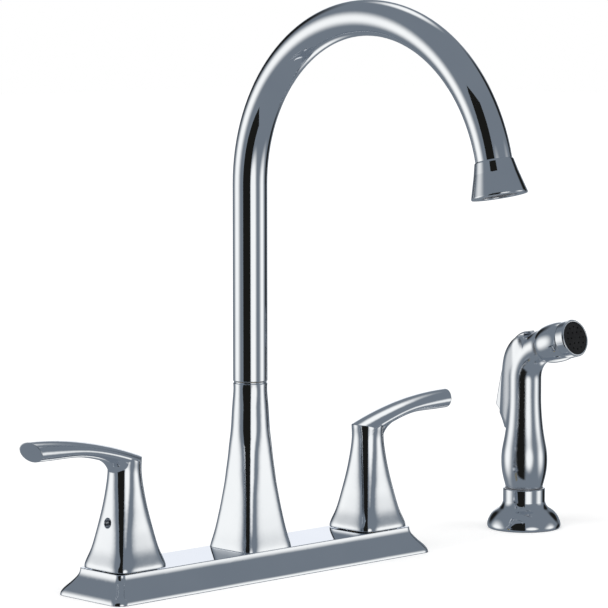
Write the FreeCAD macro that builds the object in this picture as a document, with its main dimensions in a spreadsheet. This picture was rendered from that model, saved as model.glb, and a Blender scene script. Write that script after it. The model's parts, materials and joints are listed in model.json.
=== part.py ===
import FreeCAD, Part
import math
import os

import Sketcher

Vector = FreeCAD.Vector
Placement = FreeCAD.Placement
Rotation = FreeCAD.Rotation

# ---------------------------------------------------------------------------
# Driving sizes, in millimetres and degrees.
# Frame: z = 0 is the sink deck, +X to the side spray, -Y to the person, +Z up.
# ---------------------------------------------------------------------------
SIZES = {
    # deck plate
    "handle_x": 101.6,
    "plate_top_x": 122.0,
    "plate_top_y": 19.2,
    "plate_top_corner": 4.0,
    "plate_wall": 1.6,
    "plate_cavity_top": 14.6,
    "valve_hole_r": 12.8,
    "hub_hole_r": 12.3,
    "gasket_thick": 1.5,
    "gasket_inset": 2.2,
    # handles
    "lever_top_z": 97.8,
    "lever_top_r": 232.0,
    "lever_apex_x": 73.0,
    "lever_tip_x": 70.9,
    "lever_tip_tilt": 12.0,
    "lever_tip_skew": 14.6,
    "lever_twist": 11.0,
    "handle_bore_r": 13.4,
    "handle_bore_top": 36.0,
    "handle_neck_r": 12.2,
    "handle_neck_top": 41.0,
    "handle_stem_bore_r": 4.0,
    "handle_stem_bore_top": 57.0,
    "screw_hole_r": 3.0,
    "screw_z": 44.2,
    "screw_tip_x": 4.0,
    "screw_tail_x": 11.2,
    "screw_hex_r": 1.75,
    "screw_hex_depth": 3.5,
    # valves
    "shank_r": 10.4,
    "shank_end": -50.0,
    "relief_z": -28.0,
    "inlet_r": 5.5,
    "valve_flange_r": 15.0,
    "valve_flange_top": 5.0,
    "barrel_r": 12.4,
    "barrel_top": 34.0,
    "barrel_bore_r": 9.5,
    "seat_z": 3.0,
    "cross_z": 10.0,
    "cross_r": 4.2,
    "cross_bore_r": 3.0,
    "housing_skirt_r": 8.6,
    "housing_bore_r": 7.6,
    "housing_foot": 5.5,
    "housing_thread_z": 24.0,
    "housing_roof_z": 22.0,
    "housing_hex_top": 40.5,
    "housing_hex_r": 11.5,
    "stem_bore_r": 4.1,
    "disc_joint_z": 8.7,
    "disc_r": 7.5,
    "disc_thick": 3.0,
    "stem_r": 4.0,
    "stem_top": 56.0,
    # spout hub and pedestal
    "hub_foot": 0.5,
    "hub_base_r": 12.0,
    "hub_base_top": 20.0,
    "hub_tube_r": 7.6,
    "hub_seat_bore_r": 3.2,
    "hub_water_r": 5.2,
    "hub_seat_z": 22.0,
    "socket_r": 9.0,
    "socket_bore_r": 7.4,
    "socket_foot": 74.0,
    "socket_floor": 80.0,
    "socket_top": 115.6,
    "pedestal_foot_bore_r": 13.9,
    "pedestal_mid_bore_r": 11.8,
    "pedestal_top_bore_r": 9.6,
    "pedestal_top": 117.3,
    "seam_ring_r": 10.0,
    "seam_ring_top": 118.3,
    "seam_ring_bore_r": 7.42,
    "nipple_r": 6.0,
    "nipple_bore_r": 3.0,
    "nipple_end": -36.0,
    # spout
    "tube_r": 10.5,
    "tube_bore_r": 9.0,
    "tube_foot": 118.7,
    "spout_reach_r": 101.4,
    "spout_arc_z": 238.6,
    "spout_end_angle": 12.9,
    "spigot_r": 7.35,
    "spigot_bore_r": 5.2,
    "spigot_foot": 82.0,
    "spigot_shoulder": 118.4,
    "spigot_top": 134.0,
    "groove_r": 6.0,
    "ring_wire_r": 0.69,
    "nozzle_length": 20.6,
    "nozzle_socket": 5.0,
    "nozzle_top_r": 11.2,
    "nozzle_mouth_r": 16.1,
    "nozzle_opening_r": 10.4,
    # side spray
    "spray_x": 242.4,
    "spray_y": -6.2,
    "holder_collar_r": 13.85,
    "holder_top": 26.3,
    "holder_liner_r": 12.6,
    "holder_liner_foot": 12.0,
    "holder_bore_r": 11.5,
    "holder_shank_r": 15.0,
    "holder_shank_end": -38.0,
    "liner_bore_r": 11.0,
    "spray_gasket_thick": 1.0,
    "wand_tail_r": 10.6,
    "wand_tail_foot": 9.0,
    "wand_shoulder_z": 26.6,
    "wand_socket_r": 7.05,
    "wand_socket_top": 24.0,
    "wand_water_r": 4.0,
    "wand_neck_z": 88.0,
    "wand_neck_r": 10.85,
    "wand_head_tilt": 15.5,
    "wand_head_z": 117.5,
    "wand_bend_r": 23.5,
    "head_seam": 18.5,
    "head_rim": 38.2,
    "head_end": 45.6,
    "head_rim_r": 12.2,
    "head_spigot_r": 8.9,
    "face_r": 10.8,
    "coupling_r": 7.0,
    "coupling_flange_r": 9.2,
    "coupling_end": -12.0,
    "housing_half_x": 6.7,
    "channel_half_x": 5.4,
    "trigger_half_x": 5.0,
    "trigger_pin_y": 4.5,
    "trigger_pin_z": 120.5,
    "trigger_pin_r": 1.2,
    "trigger_pin_half": 7.0,
    "plunger_z": 100.0,
    "plunger_r": 2.0,
}

PLATE_COVE = (
    (0.0, 9.4),
    (1.2, 9.32),
    (2.6, 8.8),
    (4.4, 7.6),
    (7.6, 4.6),
    (10.8, 1.95),
    (12.6, 0.85),
    (14.6, 0.22),
    (16.25, 0.0),
)
CONE_RINGS = (
    (16.8, 19.6, 4.9),
    (20.5, 19.0, 4.85),
    (26.7, 16.81, 4.66),
    (33.0, 15.34, 4.18),
    (39.0, 14.18, 3.82),
    (45.0, 13.27, 3.24),
    (51.5, 12.26, 2.82),
    (58.0, 11.38, 2.52),
    (64.0, 10.75, 2.26),
    (70.0, 10.15, 2.12),
    (76.0, 10.05, 2.0),
    (84.0, 10.15, 2.0),
    (94.0, 10.3, 2.0),
)
PEDESTAL_RINGS = (
    (16.25, 19.81, 5.83),
    (20.1, 19.13, 5.58),
    (26.3, 17.75, 5.29),
    (32.5, 16.64, 5.03),
    (38.7, 15.66, 4.76),
    (44.9, 14.79, 4.47),
    (51.1, 14.04, 4.11),
    (57.2, 13.49, 3.62),
    (63.4, 13.06, 3.27),
    (69.6, 12.5, 3.06),
    (75.8, 12.12, 2.82),
    (81.9, 11.96, 2.45),
    (94.3, 11.43, 2.09),
    (106.6, 10.8, 2.0),
    (117.3, 10.5, 2.0),
)

doc = FreeCAD.newDocument("kitchen_faucet")
sheet = doc.addObject("Spreadsheet::Sheet", "dims")


def fill_sheet():
    rows = list(SIZES.items())
    for stem, rings in (("cone", CONE_RINGS), ("pedestal", PEDESTAL_RINGS)):
        for index, (height, half, power) in enumerate(rings):
            rows.append(("%s_ring_height_%d" % (stem, index), height))
            rows.append(("%s_ring_half_%d" % (stem, index), half))
            rows.append(("%s_ring_power_%d" % (stem, index), power))
    for index, (height, offset) in enumerate(PLATE_COVE):
        rows.append(("cove_height_%d" % index, height))
        rows.append(("cove_offset_%d" % index, offset))
    for number, (alias, value) in enumerate(rows, start=1):
        sheet.set("A%d" % number, alias)
        sheet.set("B%d" % number, str(value))
        sheet.setAlias("B%d" % number, alias)
    doc.recompute()


fill_sheet()


def size(entry):
    """A number, a sheet alias, or (alias, offset) as a plain number."""
    if isinstance(entry, str):
        return float(sheet.get(entry))
    if isinstance(entry, tuple):
        return float(sheet.get(entry[0])) + entry[1]
    return float(entry)


def formula(entry):
    """The same entry written as an expression on the sheet."""
    if isinstance(entry, str):
        return "dims." + entry
    if isinstance(entry, tuple):
        return "dims.%s + %s" % entry
    return None


# ---------------------------------------------------------------------------
# Helpers for sketches and body features
# ---------------------------------------------------------------------------
outputs = []


def new_body(name, position=(0.0, 0.0, 0.0)):
    body = doc.addObject("PartDesign::Body", name)
    body.Label = name
    for axis, entry in zip("xyz", position):
        if formula(entry):
            body.setExpression("Placement.Base." + axis, formula(entry))
    body.Placement = Placement(Vector(*[size(entry) for entry in position]), Rotation())
    outputs.append(body)
    return body


def new_sketch(body, plane, lift=0.0):
    sketch = body.newObject("Sketcher::SketchObject", "sketch")
    for feature in body.Origin.OriginFeatures:
        if feature.Role == plane:
            sketch.AttachmentSupport = [(feature, "")]
    sketch.MapMode = "FlatFace"
    sketch.AttachmentOffset = Placement(Vector(0, 0, size(lift)), Rotation())
    if formula(lift):
        sketch.setExpression("AttachmentOffset.Base.z", formula(lift))
    return sketch


def pin_point(sketch, geometry, end, spot):
    """Fixes one sketch point at (u, v) from the sketch origin."""
    for kind, entry, axis in (("DistanceX", spot[0], -2), ("DistanceY", spot[1], -1)):
        if not formula(entry) and size(entry) == 0.0:
            sketch.addConstraint(Sketcher.Constraint("PointOnObject", geometry, end, axis))
            continue
        index = sketch.addConstraint(Sketcher.Constraint(kind, -1, 1, geometry, end, size(entry)))
        if formula(entry):
            sketch.setExpression("Constraints[%d]" % index, formula(entry))


def outline(sketch, corners):
    """Closed polygon through corners, each corner pinned to the sheet."""
    spots = [Vector(size(u), size(v), 0) for u, v in corners]
    count = len(spots)
    first = sketch.GeometryCount
    for index in range(count):
        sketch.addGeometry(Part.LineSegment(spots[index], spots[(index + 1) % count]))
    for index in range(count):
        following = first + (index + 1) % count
        sketch.addConstraint(Sketcher.Constraint("Coincident", first + index, 2, following, 1))
    for index, corner in enumerate(corners):
        pin_point(sketch, first + index, 1, corner)


def circle(sketch, centre, radius):
    middle = Vector(size(centre[0]), size(centre[1]), 0)
    index = sketch.addGeometry(Part.Circle(middle, Vector(0, 0, 1), size(radius)))
    pin_point(sketch, index, 3, centre)
    number = sketch.addConstraint(Sketcher.Constraint("Radius", index, size(radius)))
    if formula(radius):
        sketch.setExpression("Constraints[%d]" % number, formula(radius))


def rounded_box(sketch, half_x, half_y, corner):
    """Rounded rectangle about the sketch origin; each entry is (number, expression)."""
    hx, hy, rc = half_x[0], half_y[0], corner[0]
    quarter = math.pi / 2
    for index, (sx, sy) in enumerate(((1, 1), (-1, 1), (-1, -1), (1, -1))):
        middle = Vector(sx * (hx - rc), sy * (hy - rc), 0)
        ring = Part.Circle(middle, Vector(0, 0, 1), rc)
        sketch.addGeometry(Part.ArcOfCircle(ring, index * quarter, (index + 1) * quarter))
    ends = []
    for index in range(4):
        tail = sketch.getPoint(index, 2)
        head = sketch.getPoint((index + 1) % 4, 1)
        ends.append(sketch.addGeometry(Part.LineSegment(tail, head)))
    for index, line in enumerate(ends):
        sketch.addConstraint(Sketcher.Constraint("Tangent", index, 2, line, 1))
        sketch.addConstraint(Sketcher.Constraint("Tangent", line, 2, (index + 1) % 4, 1))
    for index in (1, 2, 3):
        sketch.addConstraint(Sketcher.Constraint("Equal", 0, index))
    number = sketch.addConstraint(Sketcher.Constraint("Radius", 0, rc))
    sketch.setExpression("Constraints[%d]" % number, corner[1])
    for index, sign in ((0, 1), (2, -1)):
        for kind, half in (("DistanceX", half_x), ("DistanceY", half_y)):
            place = Sketcher.Constraint(kind, -1, 1, index, 3, sign * (half[0] - rc))
            number = sketch.addConstraint(place)
            rule = "%d * (%s - (%s))" % (sign, half[1], corner[1])
            sketch.setExpression("Constraints[%d]" % number, rule)
    sketch.addConstraint(Sketcher.Constraint("Horizontal", ends[0]))
    sketch.addConstraint(Sketcher.Constraint("Vertical", ends[1]))


def feature(body, kind, sketch, **values):
    made = body.newObject("PartDesign::" + kind, kind.lower())
    if sketch is not None:
        made.Profile = sketch
        sketch.Visibility = False
    for key, value in values.items():
        setattr(made, key, value)
    body.Tip = made
    return made


def turned(name, corners, position=(0.0, 0.0, 0.0)):
    """A body turned about its own Z axis from (radius, height) corners."""
    body = new_body(name, position)
    sketch = new_sketch(body, "XZ_Plane")
    outline(sketch, corners)
    feature(body, "Revolution", sketch, ReferenceAxis=(sketch, ["V_Axis"]), Angle=360)
    return body


def drilled(body, base, direction, radius, depth):
    """A round hole in a body, from base along direction."""
    hole = body.newObject("PartDesign::SubtractiveCylinder", "drill")
    hole.Radius = size(radius)
    hole.Height = size(depth)
    if formula(radius):
        hole.setExpression("Radius", formula(radius))
    if formula(depth):
        hole.setExpression("Height", formula(depth))
    hole.Placement = Placement(Vector(*base), Rotation(Vector(0, 0, 1), Vector(*direction)))
    body.Tip = hole
    return hole


def added(body, kind, base, direction=(0, 0, 1), **values):
    made = body.newObject("PartDesign::" + kind, kind.lower())
    for key, value in values.items():
        setattr(made, key, size(value) if not isinstance(value, int) else value)
        if formula(value):
            made.setExpression(key, formula(value))
    made.Placement = Placement(Vector(*base), Rotation(Vector(0, 0, 1), Vector(*direction)))
    body.Tip = made
    return made


def shaped(name, shape, position=Vector(0, 0, 0)):
    """A free-form piece made straight from shape functions."""
    piece = doc.addObject("Part::Feature", name)
    piece.Label = name
    piece.Shape = shape
    piece.Placement = Placement(position, Rotation())
    outputs.append(piece)
    return piece


# ---------------------------------------------------------------------------
# Deck plate and gasket
# ---------------------------------------------------------------------------
def build_deck_plate():
    body = new_body("deck_plate")
    sections = []
    for index, (height, offset) in enumerate(PLATE_COVE):
        sketch = new_sketch(body, "XY_Plane", "cove_height_%d" % index)
        grow = "dims.cove_offset_%d" % index
        rounded_box(
            sketch,
            (size("plate_top_x") + offset, "dims.plate_top_x + " + grow),
            (size("plate_top_y") + offset, "dims.plate_top_y + " + grow),
            (size("plate_top_corner") + offset * 0.3, "dims.plate_top_corner + 0.3 * " + grow),
        )
        sections.append(sketch)
    feature(body, "AdditiveLoft", sections[0], Sections=sections[1:], Ruled=False)
    cavity = new_sketch(body, "XY_Plane", "plate_cavity_top")
    rounded_box(
        cavity,
        (size("plate_top_x") - size("plate_wall"), "dims.plate_top_x - dims.plate_wall"),
        (size("plate_top_y") - size("plate_wall"), "dims.plate_top_y - dims.plate_wall"),
        (size("plate_top_corner"), "dims.plate_top_corner"),
    )
    feature(body, "Pocket", cavity, Type="ThroughAll")
    recess = new_sketch(body, "XY_Plane", "gasket_thick")
    edge = "dims.cove_offset_0 - dims.gasket_inset"
    reach = PLATE_COVE[0][1] - size("gasket_inset")
    rounded_box(
        recess,
        (size("plate_top_x") + reach, "dims.plate_top_x + " + edge),
        (size("plate_top_y") + reach, "dims.plate_top_y + " + edge),
        (size("plate_top_corner"), "dims.plate_top_corner"),
    )
    feature(body, "Pocket", recess, Type="ThroughAll")
    for side in (-1, 1):
        drilled(body, (side * size("handle_x"), 0, 10), (0, 0, 1), "valve_hole_r", 10)
    drilled(body, (0, 0, 10), (0, 0, 1), "hub_hole_r", 10)


def build_deck_gasket():
    body = new_body("deck_gasket")
    pad = new_sketch(body, "XY_Plane")
    edge = "dims.cove_offset_0 - dims.gasket_inset"
    reach = PLATE_COVE[0][1] - size("gasket_inset")
    rounded_box(
        pad,
        (size("plate_top_x") + reach, "dims.plate_top_x + " + edge),
        (size("plate_top_y") + reach, "dims.plate_top_y + " + edge),
        (size("plate_top_corner"), "dims.plate_top_corner"),
    )
    feature(body, "Pad", pad, Length=size("gasket_thick"))
    for x in (-size("handle_x"), 0.0, size("handle_x")):
        drilled(body, (x, 0, -1), (0, 0, 1), ("valve_flange_r", 0.3), 5)


# ---------------------------------------------------------------------------
# Valves, one set under each handle
# ---------------------------------------------------------------------------
def build_valve(side_name, side):
    x = side * size("handle_x")
    inward = (-side, 0, 0)

    body = turned(
        side_name + "_valve_body",
        [
            ("inlet_r", "shank_end"),
            ("shank_r", "shank_end"),
            ("shank_r", ("relief_z", -2.0)),
            (("shank_r", -0.8), ("relief_z", -2.0)),
            (("shank_r", -0.8), "relief_z"),
            ("shank_r", "relief_z"),
            ("shank_r", 0.0),
            ("valve_flange_r", 0.0),
            ("valve_flange_r", "valve_flange_top"),
            ("barrel_r", "valve_flange_top"),
            ("barrel_r", "barrel_top"),
            ("barrel_bore_r", "barrel_top"),
            ("barrel_bore_r", "seat_z"),
            ("inlet_r", "seat_z"),
        ],
    )
    body.setExpression("Placement.Base.x", "%d * dims.handle_x" % side)
    body.Placement = Placement(Vector(x, 0, 0), Rotation())
    drilled(body, (-side * 8.0, 0, size("cross_z")), inward, "cross_r", 8)

    housing = turned(
        side_name + "_cartridge_housing",
        [
            ("housing_bore_r", "housing_foot"),
            ("housing_skirt_r", "housing_foot"),
            ("housing_skirt_r", "housing_thread_z"),
            ("barrel_bore_r", "housing_thread_z"),
            ("barrel_bore_r", "barrel_top"),
            ("stem_bore_r", "barrel_top"),
            ("stem_bore_r", "housing_roof_z"),
            ("housing_bore_r", "housing_roof_z"),
        ],
    )
    housing.setExpression("Placement.Base.x", "%d * dims.handle_x" % side)
    housing.Placement = Placement(Vector(x, 0, 0), Rotation())
    added(
        housing,
        "AdditivePrism",
        (0, 0, size("barrel_top")),
        Polygon=6,
        Circumradius="housing_hex_r",
        Height=size("housing_hex_top") - size("barrel_top"),
    )
    drilled(housing, (0, 0, size("barrel_top") - 1), (0, 0, 1), "stem_bore_r", 20)
    drilled(housing, (0, -15, 17.5), (0, 1, 0), 2.2, 30)

    seal = turned(
        side_name + "_seat_seal",
        [
            (4.4, "seat_z"),
            ("housing_skirt_r", "seat_z"),
            ("housing_skirt_r", "housing_foot"),
            (4.4, "housing_foot"),
        ],
    )
    seal.Placement = Placement(Vector(x, 0, 0), Rotation())

    foot, joint = size("housing_foot"), size("disc_joint_z")
    discs = (
        (side_name + "_fixed_disc", foot, joint - foot, 0.0),
        (side_name + "_moving_disc", joint + 0.02, size("disc_thick"), 180.0),
    )
    for name, low, thick, turn in discs:
        disc = turned(name, [(0.0, 0.0), ("disc_r", 0.0), ("disc_r", thick), (0.0, thick)])
        for offset in (-60, 60):
            angle = math.radians(offset + turn)
            spot = (4.2 * math.cos(angle), 4.2 * math.sin(angle), -1)
            drilled(disc, spot, (0, 0, 1), 2.0, 6)
        disc.Placement = Placement(Vector(x, 0, low), Rotation())

    dog = joint + 0.02 + size("disc_thick")
    stem = turned(
        side_name + "_stem",
        [
            (0.0, dog),
            (7.2, dog),
            (7.2, dog + 2.6),
            (("stem_r", 0.03), dog + 2.6),
            (("stem_r", 0.03), 41.2),
            ("stem_r", 41.2),
            ("stem_r", ("stem_top", -0.6)),
            (("stem_r", -0.6), "stem_top"),
            (0.0, "stem_top"),
        ],
    )
    stem.Placement = Placement(Vector(x, 0, 0), Rotation())


def build_cross_tubes():
    for side_name, side in (("left", -1), ("right", 1)):
        body = new_body(side_name + "_cross_tube", (0.0, 0.0, "cross_z"))
        inner = size("hub_base_r") - 2.0
        length = size("handle_x") - size("barrel_bore_r") - 0.4 - inner
        start = (side * inner, 0, 0)
        added(body, "AdditiveCylinder", start, (side, 0, 0), Radius="cross_r", Height=length)
        drilled(body, (side * (inner - 1), 0, 0), (side, 0, 0), "cross_bore_r", length + 2)


def build_shank_fixings():
    """A washer and a flanged hexagon nut on each valve shank, under the deck."""
    shank = size("shank_r")
    washers = []
    nuts = []
    for side in (-1, 1):
        x = side * size("handle_x")
        washer = Part.makeCylinder(17.0, 2.0, Vector(x, 0, -5.0))
        washers.append(washer.cut(Part.makeCylinder(shank + 0.4, 2.0, Vector(x, 0, -5.0))))
        corners = []
        for k in range(7):
            angle = k * math.pi / 3
            corners.append(Vector(x + 15.0 * math.cos(angle), 15.0 * math.sin(angle), -13.0))
        hexagon = Part.Face(Part.makePolygon(corners)).extrude(Vector(0, 0, 6.0))
        nut = Part.makeCylinder(16.0, 2.0, Vector(x, 0, -7.0)).fuse(hexagon).removeSplitter()
        nuts.append(nut.cut(Part.makeCylinder(shank, 8.0, Vector(x, 0, -13.0))))
    shaped("mounting_washers", Part.makeCompound(washers))
    shaped("mounting_nuts", Part.makeCompound(nuts))


# ---------------------------------------------------------------------------
# Handles: rounded-square cone with a lever growing out of its top
# ---------------------------------------------------------------------------
def squircle_wire(half, power, height, points=40):
    """Superellipse ring: power 2 is a circle, higher powers are squarer."""
    spots = []
    for index in range(points):
        angle = math.pi / 2 + 2 * math.pi * index / points
        c, s = abs(math.cos(angle)), abs(math.sin(angle))
        reach = half / (c**power + s**power) ** (1.0 / power)
        spots.append(Vector(reach * math.cos(angle), reach * math.sin(angle), height))
    curve = Part.BSplineCurve()
    curve.interpolate(Points=spots, PeriodicFlag=True)
    return Part.Wire([curve.toShape()])


def oval_points(centre, along, across, points=16):
    """Points round a closed oval; along and across are its two half axes."""
    spots = []
    for index in range(points):
        angle = 2 * math.pi * index / points
        spots.append(centre + along * math.cos(angle) + across * math.sin(angle))
    return spots


def oval_wire(centre, along, across, points=16):
    curve = Part.BSplineCurve()
    curve.interpolate(Points=oval_points(centre, along, across, points), PeriodicFlag=True)
    return Part.Wire([curve.toShape()])


def skinned(rings):
    """Solid skinned through rings of points, closed by flat ends."""
    surface = Part.BSplineSurface()
    surface.interpolate([ring + ring[:1] for ring in rings])
    low, high = surface.bounds()[0], surface.bounds()[1]
    faces = [surface.toShape()]
    for end in (low, high):
        faces.append(Part.Face(Part.Wire([surface.uIso(end).toShape()])))
    shell = Part.makeShell(faces)
    shell.sewShape()
    solid = Part.Solid(shell)
    if solid.Volume < 0:
        solid.reverse()
    return solid


def lever_top(x):
    run = size("lever_apex_x") - x
    radius = size("lever_top_r")
    return size("lever_top_z") - radius + math.sqrt(radius * radius - run * run)


def squircle_loft(stem, count):
    """Solid through the rings that the sheet lists under stem."""
    wires = []
    for index in range(count):
        half = size("%s_ring_half_%d" % (stem, index))
        power = size("%s_ring_power_%d" % (stem, index))
        height = size("%s_ring_height_%d" % (stem, index))
        wires.append(squircle_wire(half, power, height))
    return Part.makeLoft(wires, True, False)


LEVER_STATIONS = (
    (-16.0, 9.9, 4.8, 0.0),
    (2.0, 9.9, 4.8, 0.0),
    (20.0, 9.4, 4.5, 0.1),
    (36.0, 8.7, 4.5, 0.35),
    (54.0, 8.1, 5.4, 0.75),
    (66.0, 7.8, 5.7, 0.95),
    (80.0, 7.75, 5.75, 1.0),
)
CREASE_X = (-16.0, -9.0, -2.0, 5.0, 12.0)


def lever_blade():
    wires = []
    for x, half_width, half_height, twist in LEVER_STATIONS:
        slope = math.asin((size("lever_apex_x") - x) / size("lever_top_r"))
        normal = Vector(-math.sin(slope), 0, math.cos(slope))
        middle = Vector(x, 0, lever_top(x)) - normal * half_height
        turn = math.radians(size("lever_twist")) * twist
        wide = Vector(0, math.cos(turn), 0) + normal * math.sin(turn)
        tall = normal * math.cos(turn) - Vector(0, math.sin(turn), 0)
        wires.append(oval_wire(middle, wide * half_width, tall * half_height))
    blade = Part.makeLoft(wires, True, False)
    tilt = math.radians(size("lever_tip_tilt"))
    skew = math.radians(size("lever_tip_skew"))
    facing = Vector(math.cos(tilt) * math.cos(skew), -math.cos(tilt) * math.sin(skew), -math.sin(tilt))
    tip = Vector(size("lever_tip_x"), 0, lever_top(size("lever_tip_x")) - 5.7)
    cutter = Part.makeBox(60, 60, 60, Vector(-30, -30, 0))
    cutter.Placement = Placement(tip, Rotation(Vector(0, 0, 1), facing))
    return blade.cut(cutter)


WEB_STATIONS = (
    ((9.2, 70.0), (-8.5, 70.0), 8.6),
    ((10.5, 75.0), (-7.8, 76.5), 8.9),
    ((12.7, 78.2), (-3.5, 81.5), 9.0),
    ((16.8, 81.2), (6.0, 86.2), 8.9),
    ((24.1, 84.2), (19.5, 90.4), 8.6),
    ((34.0, 86.0), (32.8, 92.8), 8.0),
)


def lever_web():
    rings = []
    for inner, outer, half_width in WEB_STATIONS:
        a = Vector(inner[0], 0, inner[1])
        b = Vector(outer[0], 0, outer[1])
        rings.append(oval_points((a + b) * 0.5, Vector(0, half_width, 0), (b - a) * 0.5))
    return skinned(rings)


def crease_cutter():
    """Everything above the lever's widest line, over the top of the cone."""
    spots = []
    for x in CREASE_X:
        spots.append(Vector(x, -30, lever_top(x) - 4.8))
    curve = Part.BSplineCurve()
    curve.interpolate(Points=spots)
    low = curve.toShape()
    first = Vector(CREASE_X[0], -30, 120)
    last = Vector(CREASE_X[-1], -30, 120)
    rim = Part.makePolygon([spots[-1], last, first, spots[0]])
    face = Part.Face(Part.Wire([low] + rim.Edges))
    return face.extrude(Vector(0, 60, 0))


def handle_solid():
    cone = squircle_loft("cone", len(CONE_RINGS))
    keeper = cone.fuse(Part.makeBox(100, 40, 60, Vector(1, -20, 60)))
    lever = lever_blade().common(keeper)
    solid = cone.cut(crease_cutter()).fuse(lever).fuse(lever_web())
    solid = solid.cut(Part.makeCylinder(size("handle_bore_r"), size("handle_bore_top")))
    solid = solid.cut(Part.makeCylinder(size("handle_neck_r"), size("handle_neck_top")))
    solid = solid.cut(Part.makeCylinder(size("handle_stem_bore_r"), size("handle_stem_bore_top")))
    start = Vector(3.0, 0, size("screw_z"))
    return solid.cut(Part.makeCylinder(size("screw_hole_r"), 30, start, Vector(1, 0, 0)))


def set_screw_solid():
    tail, z = size("screw_tail_x"), size("screw_z")
    start = Vector(size("screw_tip_x"), 0, z)
    length = tail - size("screw_tip_x")
    screw = Part.makeCylinder(size("screw_hole_r"), length, start, Vector(1, 0, 0))
    reach = size("screw_hex_r")
    corners = []
    for k in range(7):
        angle = k * math.pi / 3
        corners.append(Vector(tail, reach * math.cos(angle), z + reach * math.sin(angle)))
    socket = Part.Face(Part.makePolygon(corners)).extrude(Vector(-size("screw_hex_depth"), 0, 0))
    return screw.cut(socket)


def build_handles():
    x = size("handle_x")
    for name, shape in (("handle", handle_solid()), ("set_screw", set_screw_solid())):
        mirrored = shape.mirror(Vector(0, 0, 0), Vector(1, 0, 0))
        shaped("right_" + name, shape, Vector(x, 0, 0))
        shaped("left_" + name, mirrored, Vector(-x, 0, 0))


# ---------------------------------------------------------------------------
# Centre: hub, pedestal, seam ring, diverter and hose nipple
# ---------------------------------------------------------------------------
def build_centre():
    hub = turned(
        "spout_hub",
        [
            ("nipple_r", "hub_foot"),
            ("hub_base_r", "hub_foot"),
            ("hub_base_r", "hub_base_top"),
            ("hub_tube_r", "hub_base_top"),
            ("hub_tube_r", "socket_foot"),
            ("socket_r", "socket_foot"),
            ("socket_r", "socket_top"),
            ("socket_bore_r", "socket_top"),
            ("socket_bore_r", "socket_floor"),
            ("hub_water_r", "socket_floor"),
            ("hub_water_r", "hub_seat_z"),
            ("hub_seat_bore_r", "hub_seat_z"),
            ("hub_seat_bore_r", 6.0),
            ("nipple_r", 6.0),
        ],
    )
    for side in (-1, 1):
        drilled(hub, (side * 10.0, 0, size("cross_z")), (side, 0, 0), "cross_r", 5)
        drilled(hub, (0, 0, size("cross_z")), (side, 0, 0), "cross_bore_r", 11)

    outer = squircle_loft("pedestal", len(PEDESTAL_RINGS))
    foot_r, mid_r = size("pedestal_foot_bore_r"), size("pedestal_mid_bore_r")
    top_r = size("pedestal_top_bore_r")
    hollow = [
        Vector(0, 0, 10),
        Vector(foot_r, 0, 10),
        Vector(foot_r, 0, 40),
        Vector(mid_r, 0, 57),
        Vector(top_r, 0, 100),
        Vector(top_r, 0, 130),
        Vector(0, 0, 130),
        Vector(0, 0, 10),
    ]
    inner = Part.Face(Part.makePolygon(hollow)).revolve(Vector(0, 0, 0), Vector(0, 0, 1), 360)
    shaped("spout_pedestal", outer.cut(inner))

    turned(
        "spout_bearing_ring",
        [
            ("seam_ring_bore_r", "socket_top"),
            ("socket_r", "socket_top"),
            ("socket_r", "pedestal_top"),
            ("seam_ring_r", "pedestal_top"),
            ("seam_ring_r", "seam_ring_top"),
            ("seam_ring_bore_r", "seam_ring_top"),
        ],
    )

    turned(
        "spray_hose_nipple",
        [
            ("nipple_bore_r", "nipple_end"),
            (("nipple_r", -0.8), "nipple_end"),
            ("nipple_r", ("nipple_end", 1.5)),
            ("nipple_r", -14.0),
            (8.2, -14.0),
            (8.2, "hub_foot"),
            ("nipple_r", "hub_foot"),
            ("nipple_r", 6.0),
            ("nipple_bore_r", 6.0),
        ],
    )

    seat_top = 30.0
    turned(
        "diverter_seat",
        [(3.0, "hub_seat_z"), ("hub_water_r", "hub_seat_z"), ("hub_water_r", seat_top), (3.0, seat_top)],
    )
    turned(
        "diverter_piston",
        [
            (0.0, 31.0),
            (2.4, 31.0),
            (2.4, 40.0),
            (5.1, 40.0),
            (5.1, 43.0),
            (4.1, 43.0),
            (4.1, 45.0),
            (5.1, 45.0),
            (5.1, 48.0),
            (0.0, 48.0),
        ],
    )
    turned("diverter_seal", [(4.1, 43.0), (5.12, 43.0), (5.12, 45.0), (4.1, 45.0)])
    coil_r, wire_r, turns = 3.9, 0.45, 4.0
    spring = new_body("diverter_spring")
    wire = new_sketch(spring, "XZ_Plane")
    circle(wire, (coil_r, seat_top + wire_r), wire_r)
    coil = feature(spring, "AdditiveHelix", wire, ReferenceAxis=(wire, ["V_Axis"]))
    coil.Mode = "height-turns-angle"
    coil.Height = 40.0 - seat_top - 2 * wire_r
    coil.Turns = turns


# ---------------------------------------------------------------------------
# Spout: gooseneck tube, spigot with seal rings, bell nozzle and aerator
# ---------------------------------------------------------------------------
def spout_end():
    """Position and flow direction at the end of the gooseneck."""
    radius = size("spout_reach_r")
    angle = math.radians(size("spout_end_angle"))
    y = -radius - radius * math.cos(angle)
    z = size("spout_arc_z") + radius * math.sin(angle)
    return Vector(0, y, z), Vector(0, -math.sin(angle), -math.cos(angle))


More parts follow.
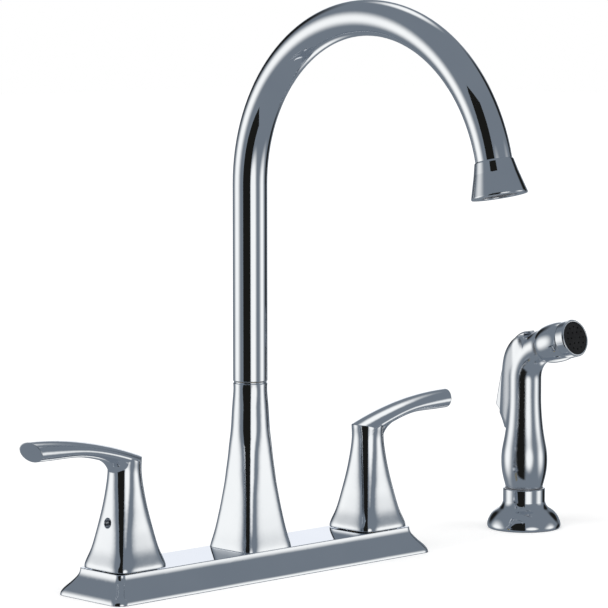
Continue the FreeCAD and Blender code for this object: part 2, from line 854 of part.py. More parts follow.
def build_spout():
    tube = new_body("spout_tube")
    ring = new_sketch(tube, "XY_Plane", "tube_foot")
    circle(ring, (0.0, 0.0), "tube_r")
    circle(ring, (0.0, 0.0), "tube_bore_r")
    path = new_sketch(tube, "YZ_Plane")
    radius, foot, arc_z = size("spout_reach_r"), size("tube_foot"), size("spout_arc_z")
    sweep = math.radians(180 - size("spout_end_angle"))
    socket = size("nozzle_socket")
    path.addGeometry(Part.LineSegment(Vector(0, foot, 0), Vector(0, arc_z, 0)))
    bend = Part.Circle(Vector(-radius, arc_z, 0), Vector(0, 0, 1), radius)
    path.addGeometry(Part.ArcOfCircle(bend, 0, sweep))
    tip = Vector(-radius + radius * math.cos(sweep), arc_z + radius * math.sin(sweep), 0)
    drop = Vector(math.sin(-sweep), math.cos(sweep), 0) * socket
    path.addGeometry(Part.LineSegment(tip, tip + drop))
    path.addConstraint(Sketcher.Constraint("PointOnObject", 0, 1, -2))
    number = path.addConstraint(Sketcher.Constraint("DistanceY", -1, 1, 0, 1, foot))
    path.setExpression("Constraints[%d]" % number, "dims.tube_foot")
    path.addConstraint(Sketcher.Constraint("Tangent", 0, 2, 1, 1))
    path.addConstraint(Sketcher.Constraint("Vertical", 0))
    number = path.addConstraint(Sketcher.Constraint("DistanceY", -1, 1, 0, 2, arc_z))
    path.setExpression("Constraints[%d]" % number, "dims.spout_arc_z")
    number = path.addConstraint(Sketcher.Constraint("Radius", 1, radius))
    path.setExpression("Constraints[%d]" % number, "dims.spout_reach_r")
    rise = radius * math.sin(sweep)
    number = path.addConstraint(Sketcher.Constraint("DistanceY", -1, 1, 1, 2, arc_z + rise))
    rule = "dims.spout_arc_z + dims.spout_reach_r * sin(dims.spout_end_angle * 1deg)"
    path.setExpression("Constraints[%d]" % number, rule)
    path.addConstraint(Sketcher.Constraint("Tangent", 1, 2, 2, 1))
    number = path.addConstraint(Sketcher.Constraint("Distance", 2, socket))
    path.setExpression("Constraints[%d]" % number, "dims.nozzle_socket")
    feature(tube, "AdditivePipe", ring, Spine=(path, []))

    spigot = turned(
        "spout_spigot",
        [
            ("spigot_bore_r", "spigot_foot"),
            (("spigot_r", -0.6), "spigot_foot"),
            ("spigot_r", ("spigot_foot", 0.6)),
            ("spigot_r", "spigot_shoulder"),
            ("tube_bore_r", "spigot_shoulder"),
            ("tube_bore_r", "spigot_top"),
            ("spigot_bore_r", "spigot_top"),
        ],
    )
    rings = []
    for height in (90.0, 108.0):
        groove = new_sketch(spigot, "XZ_Plane")
        low, high = height - 0.9, height + 0.9
        outline(groove, [("groove_r", low), (8.0, low), (8.0, high), ("groove_r", high)])
        feature(spigot, "Groove", groove, ReferenceAxis=(groove, ["V_Axis"]), Angle=360)
        wire_r = size("ring_wire_r")
        rings.append(Part.makeTorus(size("groove_r") + wire_r, wire_r, Vector(0, 0, height)))
    shaped("spout_orings", Part.makeCompound(rings))

    position, direction = spout_end()
    tilt = Rotation(Vector(0, 0, 1), direction)
    length, mouth, opening = size("nozzle_length"), size("nozzle_mouth_r"), size("nozzle_opening_r")
    tube_r, top_r = size("tube_r"), size("nozzle_top_r")
    seat = 8.0
    pieces = (
        (
            "nozzle_shell",
            [
                (tube_r, 0.0),
                (tube_r + 0.25, 0.0),
                (top_r, 0.7),
                (12.6, 7.0),
                (mouth, length - 0.8),
                (mouth - 0.1, length),
                (opening, length),
                (opening, seat),
                (9.0, seat),
                (9.0, socket),
                (tube_r, socket),
            ],
        ),
        (
            "aerator_housing",
            [
                (8.8, seat + 1.6),
                (opening, seat + 1.6),
                (opening, length - 1.6),
                (9.2, length - 1.6),
                (8.8, length - 2.0),
            ],
        ),
        ("aerator_washer", [(6.2, seat), (opening, seat), (opening, seat + 1.6), (6.2, seat + 1.6)]),
    )
    for name, corners in pieces:
        body = turned(name, corners)
        body.Placement = Placement(position, tilt)

    screen = new_body("aerator_screen")
    disc = new_sketch(screen, "XY_Plane")
    circle(disc, (0.0, 0.0), 8.8)
    feature(screen, "Pad", disc, Length=3.0)
    pitch = 2.6
    for row in range(-2, 3):
        for column in range(-2, 3):
            x, y = column * pitch + 0.5 * pitch * (row % 2), row * pitch * 0.9
            if math.hypot(x, y) < 7.2:
                drilled(screen, (x, y, -1), (0, 0, 1), 0.8, 6)
    screen.Placement = Placement(position + direction * (length - 6.0), tilt)


# ---------------------------------------------------------------------------
# Side spray. Every piece is drawn about the holder's own axis and then placed.
# ---------------------------------------------------------------------------
SPRAY_AT = ("spray_x", "spray_y", 0.0)
DOME = (
    (23.6, 0.0),
    (24.3, 1.8),
    (23.9, 4.2),
    (22.7, 7.0),
    (21.0, 9.5),
    (18.2, 11.9),
    (16.0, 13.4),
    (14.7, 15.2),
    (13.85, 17.6),
)
VASE = (
    (12.1, 26.6),
    (12.8, 29.5),
    (13.85, 33.5),
    (14.85, 39.0),
    (15.2, 45.0),
    (14.85, 51.0),
    (13.9, 56.5),
    (12.8, 62.5),
    (12.0, 68.5),
    (11.4, 75.0),
    (11.0, 81.5),
    (10.85, 88.0),
)
BULB = ((10.85, 18.8), (12.0, 21.5), (12.75, 26.0), (12.9, 30.5), (12.6, 34.5), (11.7, 38.2))
HOUSING_BACK = (
    (-3.9, 128.9),
    (1.6, 125.7),
    (6.6, 121.4),
    (11.0, 115.0),
    (13.6, 104.9),
    (15.2, 89.4),
    (16.2, 75.8),
)
HOUSING_INSIDE = ((12.7, 70.8), (10.4, 66.6), (0.0, 64.0), (0.0, 104.0), (-8.0, 118.0))
CHANNEL_FLOOR = (
    (-4.5, 128.6),
    (0.9, 123.9),
    (0.9, 117.6),
    (6.6, 111.5),
    (9.6, 103.0),
    (10.4, 92.0),
    (11.4, 74.6),
)
TRIGGER_BACK = (
    (-4.1, 131.2),
    (4.1, 127.5),
    (8.8, 122.6),
    (13.5, 115.0),
    (16.8, 104.5),
    (19.8, 92.0),
    (21.8, 81.6),
)
TRIGGER_INSIDE = (
    (16.9, 76.6),
    (14.9, 84.0),
    (14.3, 92.0),
    (12.6, 104.0),
    (8.5, 114.0),
    (5.5, 117.5),
    (2.4, 119.5),
    (1.6, 124.6),
    (-3.6, 129.2),
)


def spray_place():
    return Vector(size("spray_x"), size("spray_y"), 0)


def side_points(spots):
    """(back, height) pairs as points of the plane through the spray's axis."""
    return [Vector(0, y, z) for y, z in spots]


def turned_curve(curve_spots, closing):
    """Revolves a smooth curve through (radius, height) spots closed by straight edges."""
    spots = [Vector(radius, 0, height) for radius, height in curve_spots]
    curve = Part.BSplineCurve()
    curve.interpolate(Points=spots)
    rest = [spots[-1]] + [Vector(radius, 0, height) for radius, height in closing] + [spots[0]]
    wire = Part.Wire([curve.toShape()] + Part.makePolygon(rest).Edges)
    return Part.Face(wire).revolve(Vector(0, 0, 0), Vector(0, 0, 1), 360)


def side_slab(curve_spots, closing, half_width):
    """Slab with one smooth edge and straight edges elsewhere, centred across the wand."""
    spots = side_points(curve_spots)
    curve = Part.BSplineCurve()
    curve.interpolate(Points=spots)
    rest = Part.makePolygon([spots[-1]] + side_points(closing) + [spots[0]])
    face = Part.Face(Part.Wire([curve.toShape()] + rest.Edges))
    face.translate(Vector(-half_width, 0, 0))
    return face.extrude(Vector(2 * half_width, 0, 0))


def build_spray_holder():
    place = spray_place()
    bore, shank, gasket = size("holder_bore_r"), size("holder_shank_r"), size("spray_gasket_thick")
    collar, top = size("holder_collar_r"), size("holder_top")
    liner, liner_foot = size("holder_liner_r"), size("holder_liner_foot")
    holder = turned_curve(
        DOME,
        (
            (collar, top - 0.5),
            (collar - 0.5, top),
            (liner, top),
            (liner, liner_foot),
            (bore, liner_foot),
            (bore, size("holder_shank_end")),
            (shank, size("holder_shank_end")),
            (shank, gasket),
            (22.0, gasket),
            (22.0, 0.0),
        ),
    )
    shaped("spray_holder", holder, place)
    turned(
        "spray_holder_liner",
        [
            ("liner_bore_r", "holder_liner_foot"),
            ("holder_liner_r", "holder_liner_foot"),
            ("holder_liner_r", "holder_top"),
            ("liner_bore_r", "holder_top"),
        ],
        SPRAY_AT,
    )
    turned(
        "spray_holder_gasket",
        [
            ("holder_shank_r", 0.0),
            (22.0, 0.0),
            (22.0, "spray_gasket_thick"),
            ("holder_shank_r", "spray_gasket_thick"),
        ],
        SPRAY_AT,
    )
    turned("spray_holder_washer", [(15.4, -5.0), (24.0, -5.0), (24.0, -3.0), (15.4, -3.0)], SPRAY_AT)
    nut = turned(
        "spray_holder_nut",
        [
            ("holder_shank_r", -15.0),
            (19.0, -15.0),
            (19.0, -8.0),
            (22.5, -8.0),
            (22.5, -5.0),
            ("holder_shank_r", -5.0),
        ],
        SPRAY_AT,
    )
    for turn in (0, 90, 180, 270):
        wing = nut.newObject("PartDesign::AdditiveBox", "wing")
        wing.Length, wing.Width, wing.Height = 6.0, 3.0, 7.0
        about = Rotation(Vector(0, 0, 1), turn)
        wing.Placement = Placement(about.multVec(Vector(18.0, -1.5, -15.0)), about)
        nut.Tip = wing


def head_frame():
    """Start and direction of the spray head axis, from the wand's own axis."""
    tilt = math.radians(size("wand_head_tilt"))
    return Vector(0, 0, size("wand_head_z")), Vector(0, -math.cos(tilt), math.sin(tilt))


def wand_path(foot, end):
    """Centre line of the wand's neck: straight up, round the bend, into the head."""
    start, direction = head_frame()
    bend = size("wand_bend_r")
    lead = bend * math.tan(math.radians(90 - size("wand_head_tilt")) / 2)
    low = start - Vector(0, 0, lead)
    high = start + direction * lead
    hub = low + Vector(0, -bend, 0)
    middle = hub + (start - hub).normalize() * bend
    return Part.Wire(
        [
            Part.LineSegment(Vector(0, 0, foot), low).toShape(),
            Part.Arc(low, middle, high).toShape(),
            Part.LineSegment(high, start + direction * end).toShape(),
        ]
    )


def swept_round(foot, end, radius):
    ring = Part.Wire([Part.makeCircle(radius, Vector(0, 0, foot), Vector(0, 0, 1))])
    return wand_path(foot, end).makePipeShell([ring], True, True)


def wand_housing():
    """Back of the wand that carries the thumb lever: wide at the neck, narrow at the lever."""
    neck, half = size("wand_neck_r") - 0.3, size("housing_half_x")
    slab = side_slab(HOUSING_BACK, HOUSING_INSIDE, neck)
    plan = ((-neck, -12.0), (neck, -12.0), (neck, 1.0), (half, 16.5), (-half, 16.5), (-neck, 1.0))
    corners = [Vector(x, y, 60.0) for x, y in plan]
    wedge = Part.Face(Part.makePolygon(corners + corners[:1])).extrude(Vector(0, 0, 80.0))
    return slab.common(wedge)


def wand_channel():
    """Slot the thumb lever sinks into when it is pressed."""
    rim = ((30.0, 70.0), (30.0, 135.0), (-4.5, 135.0))
    half = size("channel_half_x")
    corners = side_points(CHANNEL_FLOOR + rim + CHANNEL_FLOOR[:1])
    face = Part.Face(Part.makePolygon(corners))
    face.translate(Vector(-half, 0, 0))
    return face.extrude(Vector(2 * half, 0, 0))


def pin_solid(radius):
    reach = size("trigger_pin_half")
    start = Vector(-reach, size("trigger_pin_y"), size("trigger_pin_z"))
    return Part.makeCylinder(radius, 2 * reach, start, Vector(1, 0, 0))


def wand_solid():
    tail_r, tail_foot, shoulder = size("wand_tail_r"), size("wand_tail_foot"), size("wand_shoulder_z")
    neck_z, neck_r, seam = size("wand_neck_z"), size("wand_neck_r"), size("head_seam")
    water = size("wand_water_r")
    vase = turned_curve(
        VASE,
        (
            (0.0, neck_z),
            (0.0, tail_foot),
            (tail_r - 0.6, tail_foot),
            (tail_r, tail_foot + 0.6),
            (tail_r, shoulder),
        ),
    )
    start, direction = head_frame()
    spigot = Part.makeCylinder(size("head_spigot_r"), 7.0, start + direction * seam, direction)
    body = vase.fuse([swept_round(neck_z, seam, neck_r), spigot]).fuse(wand_housing())
    valve_hole = size("plunger_r") + 0.05
    reach = Vector(0, 0, size("plunger_z"))
    cuts = [
        wand_channel(),
        Part.makeCylinder(size("wand_socket_r"), size("wand_socket_top")),
        Part.makeCylinder(water, neck_z),
        swept_round(neck_z, seam + 10.0, water),
        pin_solid(size("trigger_pin_r")),
        Part.makeCylinder(valve_hole, 20, reach, Vector(0, 1, 0)),
    ]
    for cutter in cuts:
        body = body.cut(cutter)
    return body


def build_spray_head():
    """Bulb, rim and rubber face, turned about the head's own axis."""
    start, direction = head_frame()
    at_head = Placement(spray_place() + start, Rotation(Vector(0, 0, 1), direction))
    seam, rim, end = size("head_seam"), size("head_rim"), size("head_end")
    spigot, rim_r, face_r = size("head_spigot_r"), size("head_rim_r"), size("face_r")

    closing = ((9.6, rim), (9.6, seam + 7.0), (spigot, seam + 7.0), (spigot, seam + 0.3))
    bulb = shaped("spray_head_ring", turned_curve(BULB, closing))
    bulb.Placement = at_head

    lip = turned(
        "spray_face_rim",
        [
            (9.0, rim),
            (rim_r - 0.5, rim),
            (rim_r, rim + 0.8),
            (rim_r, end - 0.8),
            (rim_r - 0.6, end),
            (face_r, end),
            (face_r, rim + 3.0),
            (9.0, rim + 3.0),
        ],
    )
    lip.Placement = at_head

    face = turned(
        "spray_face",
        [
            (0.0, rim + 3.0),
            ("face_r", rim + 3.0),
            ("face_r", end - 0.3),
            (("face_r", -1.2), end + 0.1),
            (0.0, end + 0.3),
        ],
    )
    for radius, count in ((7.4, 12), (4.0, 6)):
        for index in range(count):
            angle = 2 * math.pi * index / count
            spot = (radius * math.cos(angle), radius * math.sin(angle), rim)
            drilled(face, spot, (0, 0, 1), 0.6, 12)
    face.Placement = at_head


def build_trigger():
    """Thumb lever with a rounded back, its pivot pin, and the valve parts it works."""
    place = spray_place()
    half, pin_r = size("trigger_half_x"), size("trigger_pin_r")
    lever = side_slab(TRIGGER_BACK, TRIGGER_INSIDE, half)
    back_edges = [edge for edge in lever.Edges if edge.Length > 50 and edge.BoundBox.YMax > 21]
    lever = lever.makeFillet(1.8, back_edges)
    shaped("spray_trigger", lever.cut(pin_solid(pin_r + 0.05)), place)
    shaped("spray_trigger_pin", pin_solid(pin_r), place)

    rod_start = Vector(0, -1.0, size("plunger_z"))
    rod = Part.makeCylinder(size("plunger_r"), 13.5, rod_start, Vector(0, 1, 0))
    shaped("spray_valve_plunger", rod, place)
    turned(
        "spray_valve_seat",
        [(2.4, 86.0), ("wand_water_r", 86.0), ("wand_water_r", 90.0), (2.4, 90.0)],
        SPRAY_AT,
    )


def build_spray_coupling():
    """Swivel end of the spray hose; the hose itself is not part of the object."""
    turned(
        "spray_coupling",
        [
            (3.0, "coupling_end"),
            (5.4, "coupling_end"),
            (6.0, ("coupling_end", 0.8)),
            (6.0, 3.0),
            ("coupling_flange_r", 3.0),
            ("coupling_flange_r", 8.7),
            ("coupling_r", 8.7),
            ("coupling_r", 23.0),
            (3.0, 23.0),
        ],
        SPRAY_AT,
    )


# ---------------------------------------------------------------------------
# Build, check and write every piece
# ---------------------------------------------------------------------------
def check_and_write():
    doc.recompute()
    for piece in doc.Objects:
        if "Invalid" in piece.State or "Error" in piece.State:
            raise RuntimeError("%s is in state %s" % (piece.Label, piece.State))
    for piece in outputs:
        if piece.Shape.isNull() or not piece.Shape.isValid():
            raise RuntimeError("%s has no valid shape" % piece.Label)
    os.makedirs("parts", exist_ok=True)
    for piece in outputs:
        piece.Shape.exportStep("parts/%s.step" % piece.Label)


build_deck_plate()
build_deck_gasket()
build_valve("left", -1)
build_valve("right", 1)
build_cross_tubes()
build_shank_fixings()
build_handles()
build_centre()
build_spout()
build_spray_holder()
shaped("spray_wand", wand_solid(), spray_place())
build_spray_head()
build_trigger()
build_spray_coupling()
check_and_write()
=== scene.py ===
import json
import math

import bmesh
import bpy
from mathutils import Matrix, Vector

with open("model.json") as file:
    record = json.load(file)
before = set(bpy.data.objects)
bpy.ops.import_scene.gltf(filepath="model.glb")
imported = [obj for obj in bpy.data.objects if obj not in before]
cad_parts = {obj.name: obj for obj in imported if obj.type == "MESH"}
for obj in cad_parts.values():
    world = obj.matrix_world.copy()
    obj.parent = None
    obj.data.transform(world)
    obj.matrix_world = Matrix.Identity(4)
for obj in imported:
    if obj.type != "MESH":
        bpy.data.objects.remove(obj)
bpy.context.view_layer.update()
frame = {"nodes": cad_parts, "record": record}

MM = 0.001

# ---------------------------------------------------------------------------
# Camera: the photograph's own viewpoint. Distances in millimetres; CAMERA_REACH, how far
# it sees, in metres.
# ---------------------------------------------------------------------------
CAMERA_YAW = math.radians(44.056)
CAMERA_PITCH = math.radians(5.872)
CAMERA_DISTANCE = 1981.82
CAMERA_LENS = 192.98
CAMERA_SENSOR = 36.0
CAMERA_AIM_ACROSS = 32.735
CAMERA_AIM_HEIGHT = 165.433
CAMERA_REACH = 50.0


def make_camera():
    """A camera that looks along the photograph's line of sight."""
    right = Vector((math.cos(CAMERA_YAW), -math.sin(CAMERA_YAW), 0.0))
    ahead = Vector(
        (
            math.sin(CAMERA_YAW) * math.cos(CAMERA_PITCH),
            math.cos(CAMERA_YAW) * math.cos(CAMERA_PITCH),
            -math.sin(CAMERA_PITCH),
        )
    )
    up = right.cross(ahead)
    aim = right * CAMERA_AIM_ACROSS + Vector((0.0, 0.0, CAMERA_AIM_HEIGHT))
    place = (aim - ahead * CAMERA_DISTANCE) * MM
    data = bpy.data.cameras.new("camera")
    data.lens = CAMERA_LENS
    data.sensor_width = CAMERA_SENSOR
    data.clip_end = CAMERA_REACH
    camera = bpy.data.objects.new("camera", data)
    turn = Matrix((right, up, -ahead)).transposed().to_4x4()
    camera.matrix_world = Matrix.Translation(place) @ turn
    bpy.context.scene.collection.objects.link(camera)
    bpy.context.scene.camera = camera


# ---------------------------------------------------------------------------
# Materials
# ---------------------------------------------------------------------------
# The noise values between which a texture runs from its low end to its high end.
NOISE_LOW = 0.3
NOISE_HIGH = 0.7

# How far the polishing rounds an edge of the chrome. The plated plastic wand has no
# sharp edge where the trigger's housing leaves its neck.
EDGE_ROUNDING = 0.8 * MM
WAND_ROUNDING = 5.0 * MM
ROUNDING_SAMPLES = 12

# Nodes whose finish differs a little from the plain one of their slot.
SPECIAL_FINISH = {"spray_wand": "moulded_chrome"}


class Nodes:
    """Short names for building a material's node tree."""

    def __init__(self, name):
        self.material = bpy.data.materials.new(name)
        self.material.use_nodes = True
        self.tree = self.material.node_tree
        self.tree.nodes.clear()
        self.output = self.add("ShaderNodeOutputMaterial")
        self.surface = self.add("ShaderNodeBsdfPrincipled")
        self.join(self.surface, "BSDF", self.output, "Surface")
        self.place = self.add("ShaderNodeTexCoord")

    def add(self, kind, **values):
        node = self.tree.nodes.new(kind)
        for key, value in values.items():
            setattr(node, key, value)
        return node

    def join(self, source, out, target, into):
        self.tree.links.new(source.outputs[out], target.inputs[into])

    def noise(self, scale, detail=3.0, stretch=(1.0, 1.0, 1.0)):
        """Noise over the object's own place; scale is in blobs per metre."""
        mapping = self.add("ShaderNodeMapping")
        mapping.inputs["Scale"].default_value = stretch
        noise = self.add("ShaderNodeTexNoise")
        noise.inputs["Scale"].default_value = scale
        noise.inputs["Detail"].default_value = detail
        self.join(self.place, "Object", mapping, "Vector")
        self.join(mapping, "Vector", noise, "Vector")
        return noise

    def between(self, source, low, high, into):
        """Runs a texture's value from low to high into one of the shader's inputs."""
        ranged = self.add("ShaderNodeMapRange")
        ranged.inputs["From Min"].default_value = NOISE_LOW
        ranged.inputs["From Max"].default_value = NOISE_HIGH
        ranged.inputs["To Min"].default_value = low
        ranged.inputs["To Max"].default_value = high
        self.join(source, "Fac", ranged, "Value")
        self.join(ranged, "Result", self.surface, into)

    def colours(self, source, dark, light):
        """Runs a texture's value from one colour to another into the base colour."""
        ramp = self.add("ShaderNodeValToRGB")
        ramp.color_ramp.elements[0].position = NOISE_LOW
        ramp.color_ramp.elements[0].color = (*dark, 1.0)
        ramp.color_ramp.elements[1].position = NOISE_HIGH
        ramp.color_ramp.elements[1].color = (*light, 1.0)
        self.join(source, "Fac", ramp, "Fac")
        self.join(ramp, "Color", self.surface, "Base Color")

    def bump(self, source, strength, height):
        bump = self.add("ShaderNodeBump")
        bump.inputs["Strength"].default_value = strength
        bump.inputs["Distance"].default_value = height
        self.join(source, "Fac", bump, "Height")
        self.join(bump, "Normal", self.surface, "Normal")

    def soften_edges(self, radius):
        """Shades every edge as if it were rounded by the polishing; radius in metres."""
        rounding = self.add("ShaderNodeBevel", samples=ROUNDING_SAMPLES)
        rounding.inputs["Radius"].default_value = radius
        self.join(rounding, "Normal", self.surface, "Normal")

    def set(self, **values):
        for key, value in values.items():
            self.surface.inputs[key.replace("_", " ")].default_value = value


def chrome_material(name="chrome_plate", rounding=EDGE_ROUNDING):
    """Bright nickel-chrome plate: wiped, so its gloss varies a little over the surface."""
    nodes = Nodes(name)
    nodes.soften_edges(rounding)
    nodes.set(Metallic=1.0)
    nodes.colours(nodes.noise(28.0), (0.80, 0.825, 0.86), (0.84, 0.86, 0.89))
    nodes.between(nodes.noise(45.0, detail=4.0), 0.02, 0.05, "Roughness")
    return nodes.material


def brass_material():
    nodes = Nodes("machined_brass")
    nodes.set(Metallic=1.0)
    nodes.colours(nodes.noise(60.0), (0.66, 0.50, 0.24), (0.76, 0.60, 0.32))
    turning = nodes.noise(90.0, stretch=(1.0, 1.0, 40.0))
    nodes.between(turning, 0.22, 0.38, "Roughness")
    nodes.bump(turning, 0.25, 0.00005)
    return nodes.material


def rubber_material():
    nodes = Nodes("black_rubber")
    nodes.colours(nodes.noise(120.0), (0.007, 0.007, 0.008), (0.014, 0.014, 0.015))
    nodes.set(Specular_IOR_Level=0.3)
    grain = nodes.noise(1800.0, detail=2.0)
    nodes.between(grain, 0.50, 0.66, "Roughness")
    nodes.bump(grain, 0.35, 0.00008)
    return nodes.material


def grey_plastic_material():
    nodes = Nodes("grey_moulded_plastic")
    nodes.colours(nodes.noise(80.0), (0.27, 0.28, 0.30), (0.32, 0.33, 0.35))
    grain = nodes.noise(2500.0, detail=2.0)
    nodes.between(grain, 0.38, 0.52, "Roughness")
    nodes.bump(grain, 0.25, 0.00004)
    return nodes.material


def steel_material():
    nodes = Nodes("stainless_steel")
    nodes.set(Metallic=1.0)
    nodes.colours(nodes.noise(70.0), (0.56, 0.57, 0.59), (0.64, 0.65, 0.67))
    brush = nodes.noise(400.0, stretch=(1.0, 1.0, 30.0))
    nodes.between(brush, 0.20, 0.34, "Roughness")
    nodes.bump(brush, 0.15, 0.00003)
    return nodes.material


def ceramic_material():
    nodes = Nodes("polished_alumina")
    nodes.colours(nodes.noise(150.0), (0.86, 0.86, 0.83), (0.93, 0.93, 0.91))
    speckle = nodes.noise(900.0)
    nodes.between(speckle, 0.08, 0.16, "Roughness")
    nodes.bump(speckle, 0.05, 0.00002)
    return nodes.material


def make_materials():
    return {
        "chrome": chrome_material(),
        "moulded_chrome": chrome_material("moulded_chrome", WAND_ROUNDING),
        "brass": brass_material(),
        "black_rubber": rubber_material(),
        "grey_plastic": grey_plastic_material(),
        "steel": steel_material(),
        "ceramic": ceramic_material(),
    }


def finish_of_nodes():
    """The material slot of every CAD node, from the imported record."""
    slots = {}
    for part in frame["record"]["subparts"]:
        slots[part["node"]] = part["material_slot"]
    return slots


def dress_nodes(materials):
    slots = finish_of_nodes()
    for name, thing in frame["nodes"].items():
        thing.data.materials.clear()
        finish = SPECIAL_FINISH.get(name, slots[name])
        thing.data.materials.append(materials[finish])


# ---------------------------------------------------------------------------
# Studio
# ---------------------------------------------------------------------------
TENT_GREY = (0.187, 0.217, 0.254)
LAMP_WHITE = (1.09, 1.09, 1.07)
BACKDROP_WHITE = (0.93, 0.96, 1.02)
CARD_BLACK = (0.012, 0.012, 0.011)

# Soft round patches on the tent round the object. Bearings are measured from the
# camera's side, positive to its right; each patch is full inside its core and gone
# at its edge. All in degrees.
TENT_PATCHES = (
    # bearing, height, core, edge, colour
    (-148.0, 16.0, 8.0, 24.0, CARD_BLACK),
    (137.0, 18.0, 9.0, 20.0, CARD_BLACK),
    (133.0, -12.0, 8.0, 20.0, CARD_BLACK),
    (-98.0, -2.0, 6.0, 36.0, LAMP_WHITE),
    (88.0, -3.0, 3.0, 27.0, LAMP_WHITE),
    (22.0, -2.0, 10.0, 27.0, LAMP_WHITE),
    (178.0, 52.0, 6.0, 20.0, LAMP_WHITE),
    (168.0, -48.0, 5.0, 20.0, LAMP_WHITE),
    (180.0, 6.0, 5.0, 12.0, BACKDROP_WHITE),
)
TENT_RADIUS = 12.0
TENT_FINENESS = 5
TENT_CENTRE = Vector((0.0, 0.0, 0.2))

# Flat cards in front of the tent on the camera's side: left, right, foot and top
# edges in metres, where the card stands CARD_DISTANCE from the object.
CARD_DISTANCE = 8.0
CARDS = (
    ("black_card", (-8.37, 0.335), (-6.0, 7.2), CARD_BLACK),
    ("grey_card", (0.335, 0.65), (-6.0, 7.2), TENT_GREY),
)

# Light on the object: the world's share of full light, then soft suns with their
# bearing and height in degrees and their share of full light.
WORLD_LIGHT = 0.6
SUNS = (("key", -40.0, 55.0, 0.35), ("fill", 70.0, 40.0, 0.15))
SUN_SPREAD = math.radians(40.0)

FLOOR_HALF = 6.0
FLOOR_PAINT = (0.82, 0.82, 0.82)
FLOOR_GLOW = 0.32

# Sockets of a colour mixing node, which shares its names among its data types.
MIX_SHARE = 0
MIX_BELOW = 6
MIX_ABOVE = 7
MIX_RESULT = 2

TO_CAMERA = Vector((-math.sin(CAMERA_YAW), -math.cos(CAMERA_YAW), 0.0))
TO_RIGHT = Vector((math.cos(CAMERA_YAW), -math.sin(CAMERA_YAW), 0.0))


def bearing(across, height):
    """The direction of a patch on the tent."""
    across, height = math.radians(across), math.radians(height)
    level = TO_CAMERA * math.cos(across) + TO_RIGHT * math.sin(across)
    return level * math.cos(height) + Vector((0.0, 0.0, math.sin(height)))


def seen_directly(tree):
    """1 for a camera, mirror or see-through ray, 0 for the light on the object."""
    path = tree.nodes.new("ShaderNodeLightPath")
    total = path.outputs["Is Camera Ray"]
    for kind in ("Is Glossy Ray", "Is Transmission Ray"):
        larger = tree.nodes.new("ShaderNodeMath")
        larger.operation = "MAXIMUM"
        tree.links.new(total, larger.inputs[0])
        tree.links.new(path.outputs[kind], larger.inputs[1])
        total = larger.outputs["Value"]
    return total


def make_world():
    """Even white light, and plain white behind the object."""
    world = bpy.data.worlds.new("studio")
    world.use_nodes = True
    bpy.context.scene.world = world
    tree = world.node_tree
    tree.nodes.clear()
    output = tree.nodes.new("ShaderNodeOutputWorld")
    light = tree.nodes.new("ShaderNodeBackground")
    light.inputs["Strength"].default_value = WORLD_LIGHT
    backdrop = tree.nodes.new("ShaderNodeBackground")
    backdrop.inputs["Strength"].default_value = 1.0
    mix = tree.nodes.new("ShaderNodeMixShader")
    for background in (light, backdrop):
        background.inputs["Color"].default_value = (1.0, 1.0, 1.0, 1.0)
    tree.links.new(seen_directly(tree), mix.inputs["Fac"])
    tree.links.new(light.outputs["Background"], mix.inputs[1])
    tree.links.new(backdrop.outputs["Background"], mix.inputs[2])
    tree.links.new(mix.outputs["Shader"], output.inputs["Surface"])


def glowing(name):
    """A material that gives light; returns it, its node tree and its emission node."""
    material = bpy.data.materials.new(name)
    material.use_nodes = True
    material.cycles.emission_sampling = "NONE"
    tree = material.node_tree
    tree.nodes.clear()
    output = tree.nodes.new("ShaderNodeOutputMaterial")
    glow = tree.nodes.new("ShaderNodeEmission")
    tree.links.new(glow.outputs["Emission"], output.inputs["Surface"])
    return material, tree, glow


def add_patch(tree, direction, patch, below):
    """Lays one soft round patch over the colour that comes from below."""
    across, height, core, edge, colour = patch
    facing = tree.nodes.new("ShaderNodeVectorMath")
    facing.operation = "DOT_PRODUCT"
    facing.inputs[1].default_value = bearing(across, height)
    tree.links.new(direction, facing.inputs[0])
    angle = tree.nodes.new("ShaderNodeMath")
    angle.operation = "ARCCOSINE"
    tree.links.new(facing.outputs["Value"], angle.inputs[0])
    fade = tree.nodes.new("ShaderNodeMapRange")
    fade.interpolation_type = "SMOOTHSTEP"
    fade.inputs["From Min"].default_value = math.radians(core)
    fade.inputs["From Max"].default_value = math.radians(edge)
    fade.inputs["To Min"].default_value = 1.0
    fade.inputs["To Max"].default_value = 0.0
    tree.links.new(angle.outputs["Value"], fade.inputs["Value"])
    mix = tree.nodes.new("ShaderNodeMix")
    mix.data_type = "RGBA"
    mix.clamp_result = False
    mix.inputs[MIX_ABOVE].default_value = (*colour, 1.0)
    tree.links.new(fade.outputs["Result"], mix.inputs[MIX_SHARE])
    tree.links.new(below, mix.inputs[MIX_BELOW])
    return mix.outputs[MIX_RESULT]


def tent_material():
    material, tree, glow = glowing("studio_tent")
    place = tree.nodes.new("ShaderNodeTexCoord")
    direction = tree.nodes.new("ShaderNodeVectorMath")
    direction.operation = "NORMALIZE"
    tree.links.new(place.outputs["Object"], direction.inputs[0])
    plain = tree.nodes.new("ShaderNodeRGB")
    plain.outputs[0].default_value = (*TENT_GREY, 1.0)
    colour = plain.outputs[0]
    for patch in TENT_PATCHES:
        colour = add_patch(tree, direction.outputs["Vector"], patch, colour)
    tree.links.new(colour, glow.inputs["Color"])
    return material


def only_reflected(thing):
    """Seen in the chrome alone: not by the camera, and it lights nothing."""
    thing.visible_camera = False
    thing.visible_diffuse = False
    thing.visible_transmission = False
    thing.visible_volume_scatter = False
    thing.visible_shadow = False


def stage_object(name, mesh, material):
    thing = bpy.data.objects.new(name, mesh)
    mesh.materials.append(material)
    bpy.context.scene.collection.objects.link(thing)
    return thing


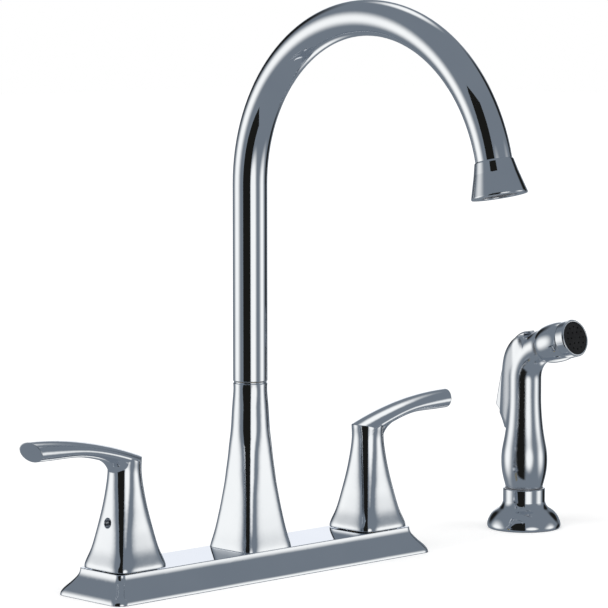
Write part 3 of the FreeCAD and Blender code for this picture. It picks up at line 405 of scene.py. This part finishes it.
def make_tent():
    """The round studio tent that the chrome mirrors."""
    form = bmesh.new()
    bmesh.ops.create_icosphere(form, subdivisions=TENT_FINENESS, radius=TENT_RADIUS)
    mesh = bpy.data.meshes.new("studio_tent")
    form.to_mesh(mesh)
    form.free()
    tent = stage_object("studio_tent", mesh, tent_material())
    tent.location = TENT_CENTRE
    only_reflected(tent)


def make_card(name, across, heights, colour):
    material, _, glow = glowing(name)
    glow.inputs["Color"].default_value = (*colour, 1.0)
    centre = TENT_CENTRE + TO_CAMERA * CARD_DISTANCE
    corners = []
    for side, height in ((0, 0), (1, 0), (1, 1), (0, 1)):
        lift = Vector((0.0, 0.0, heights[height]))
        corners.append(centre + TO_RIGHT * across[side] + lift)
    mesh = bpy.data.meshes.new(name)
    mesh.from_pydata(corners, [], [(0, 1, 2, 3)])
    only_reflected(stage_object(name, mesh, material))


def soft_sun(name, across, height, level):
    """A wide soft light from one direction; level is its share of full light."""
    data = bpy.data.lights.new(name, "SUN")
    data.angle = SUN_SPREAD
    data.energy = math.pi * level
    lamp = bpy.data.objects.new(name, data)
    lamp.rotation_mode = "QUATERNION"
    lamp.rotation_quaternion = bearing(across, height).to_track_quat("Z", "Y")
    lamp.visible_glossy = False
    bpy.context.scene.collection.objects.link(lamp)


def floor_material():
    """White to the camera where the light is full, and darker in the object's shadow."""
    material, tree, glow = glowing("pale_floor")
    paint = tree.nodes.new("ShaderNodeBsdfDiffuse")
    paint.inputs["Color"].default_value = (*FLOOR_PAINT, 1.0)
    both = tree.nodes.new("ShaderNodeAddShader")
    mix = tree.nodes.new("ShaderNodeMixShader")
    glow.inputs["Strength"].default_value = FLOOR_GLOW
    tree.links.new(paint.outputs["BSDF"], both.inputs[0])
    tree.links.new(glow.outputs["Emission"], both.inputs[1])
    tree.links.new(seen_directly(tree), mix.inputs["Fac"])
    tree.links.new(paint.outputs["BSDF"], mix.inputs[1])
    tree.links.new(both.outputs["Shader"], mix.inputs[2])
    tree.links.new(mix.outputs["Shader"], tree.nodes["Material Output"].inputs["Surface"])
    return material


def make_floor():
    mesh = bpy.data.meshes.new("floor")
    corners = []
    for x, y in ((-1, -1), (1, -1), (1, 1), (-1, 1)):
        corners.append((x * FLOOR_HALF, y * FLOOR_HALF, 0.0))
    mesh.from_pydata(corners, [], [(0, 1, 2, 3)])
    floor = stage_object("floor", mesh, floor_material())
    floor.visible_glossy = False


def make_studio():
    bpy.context.scene.view_settings.view_transform = "Standard"
    make_world()
    make_floor()
    make_tent()
    for name, across, heights, colour in CARDS:
        make_card(name, across, heights, colour)
    for name, across, height, level in SUNS:
        soft_sun(name, across, height, level)


make_camera()
dress_nodes(make_materials())
make_studio()
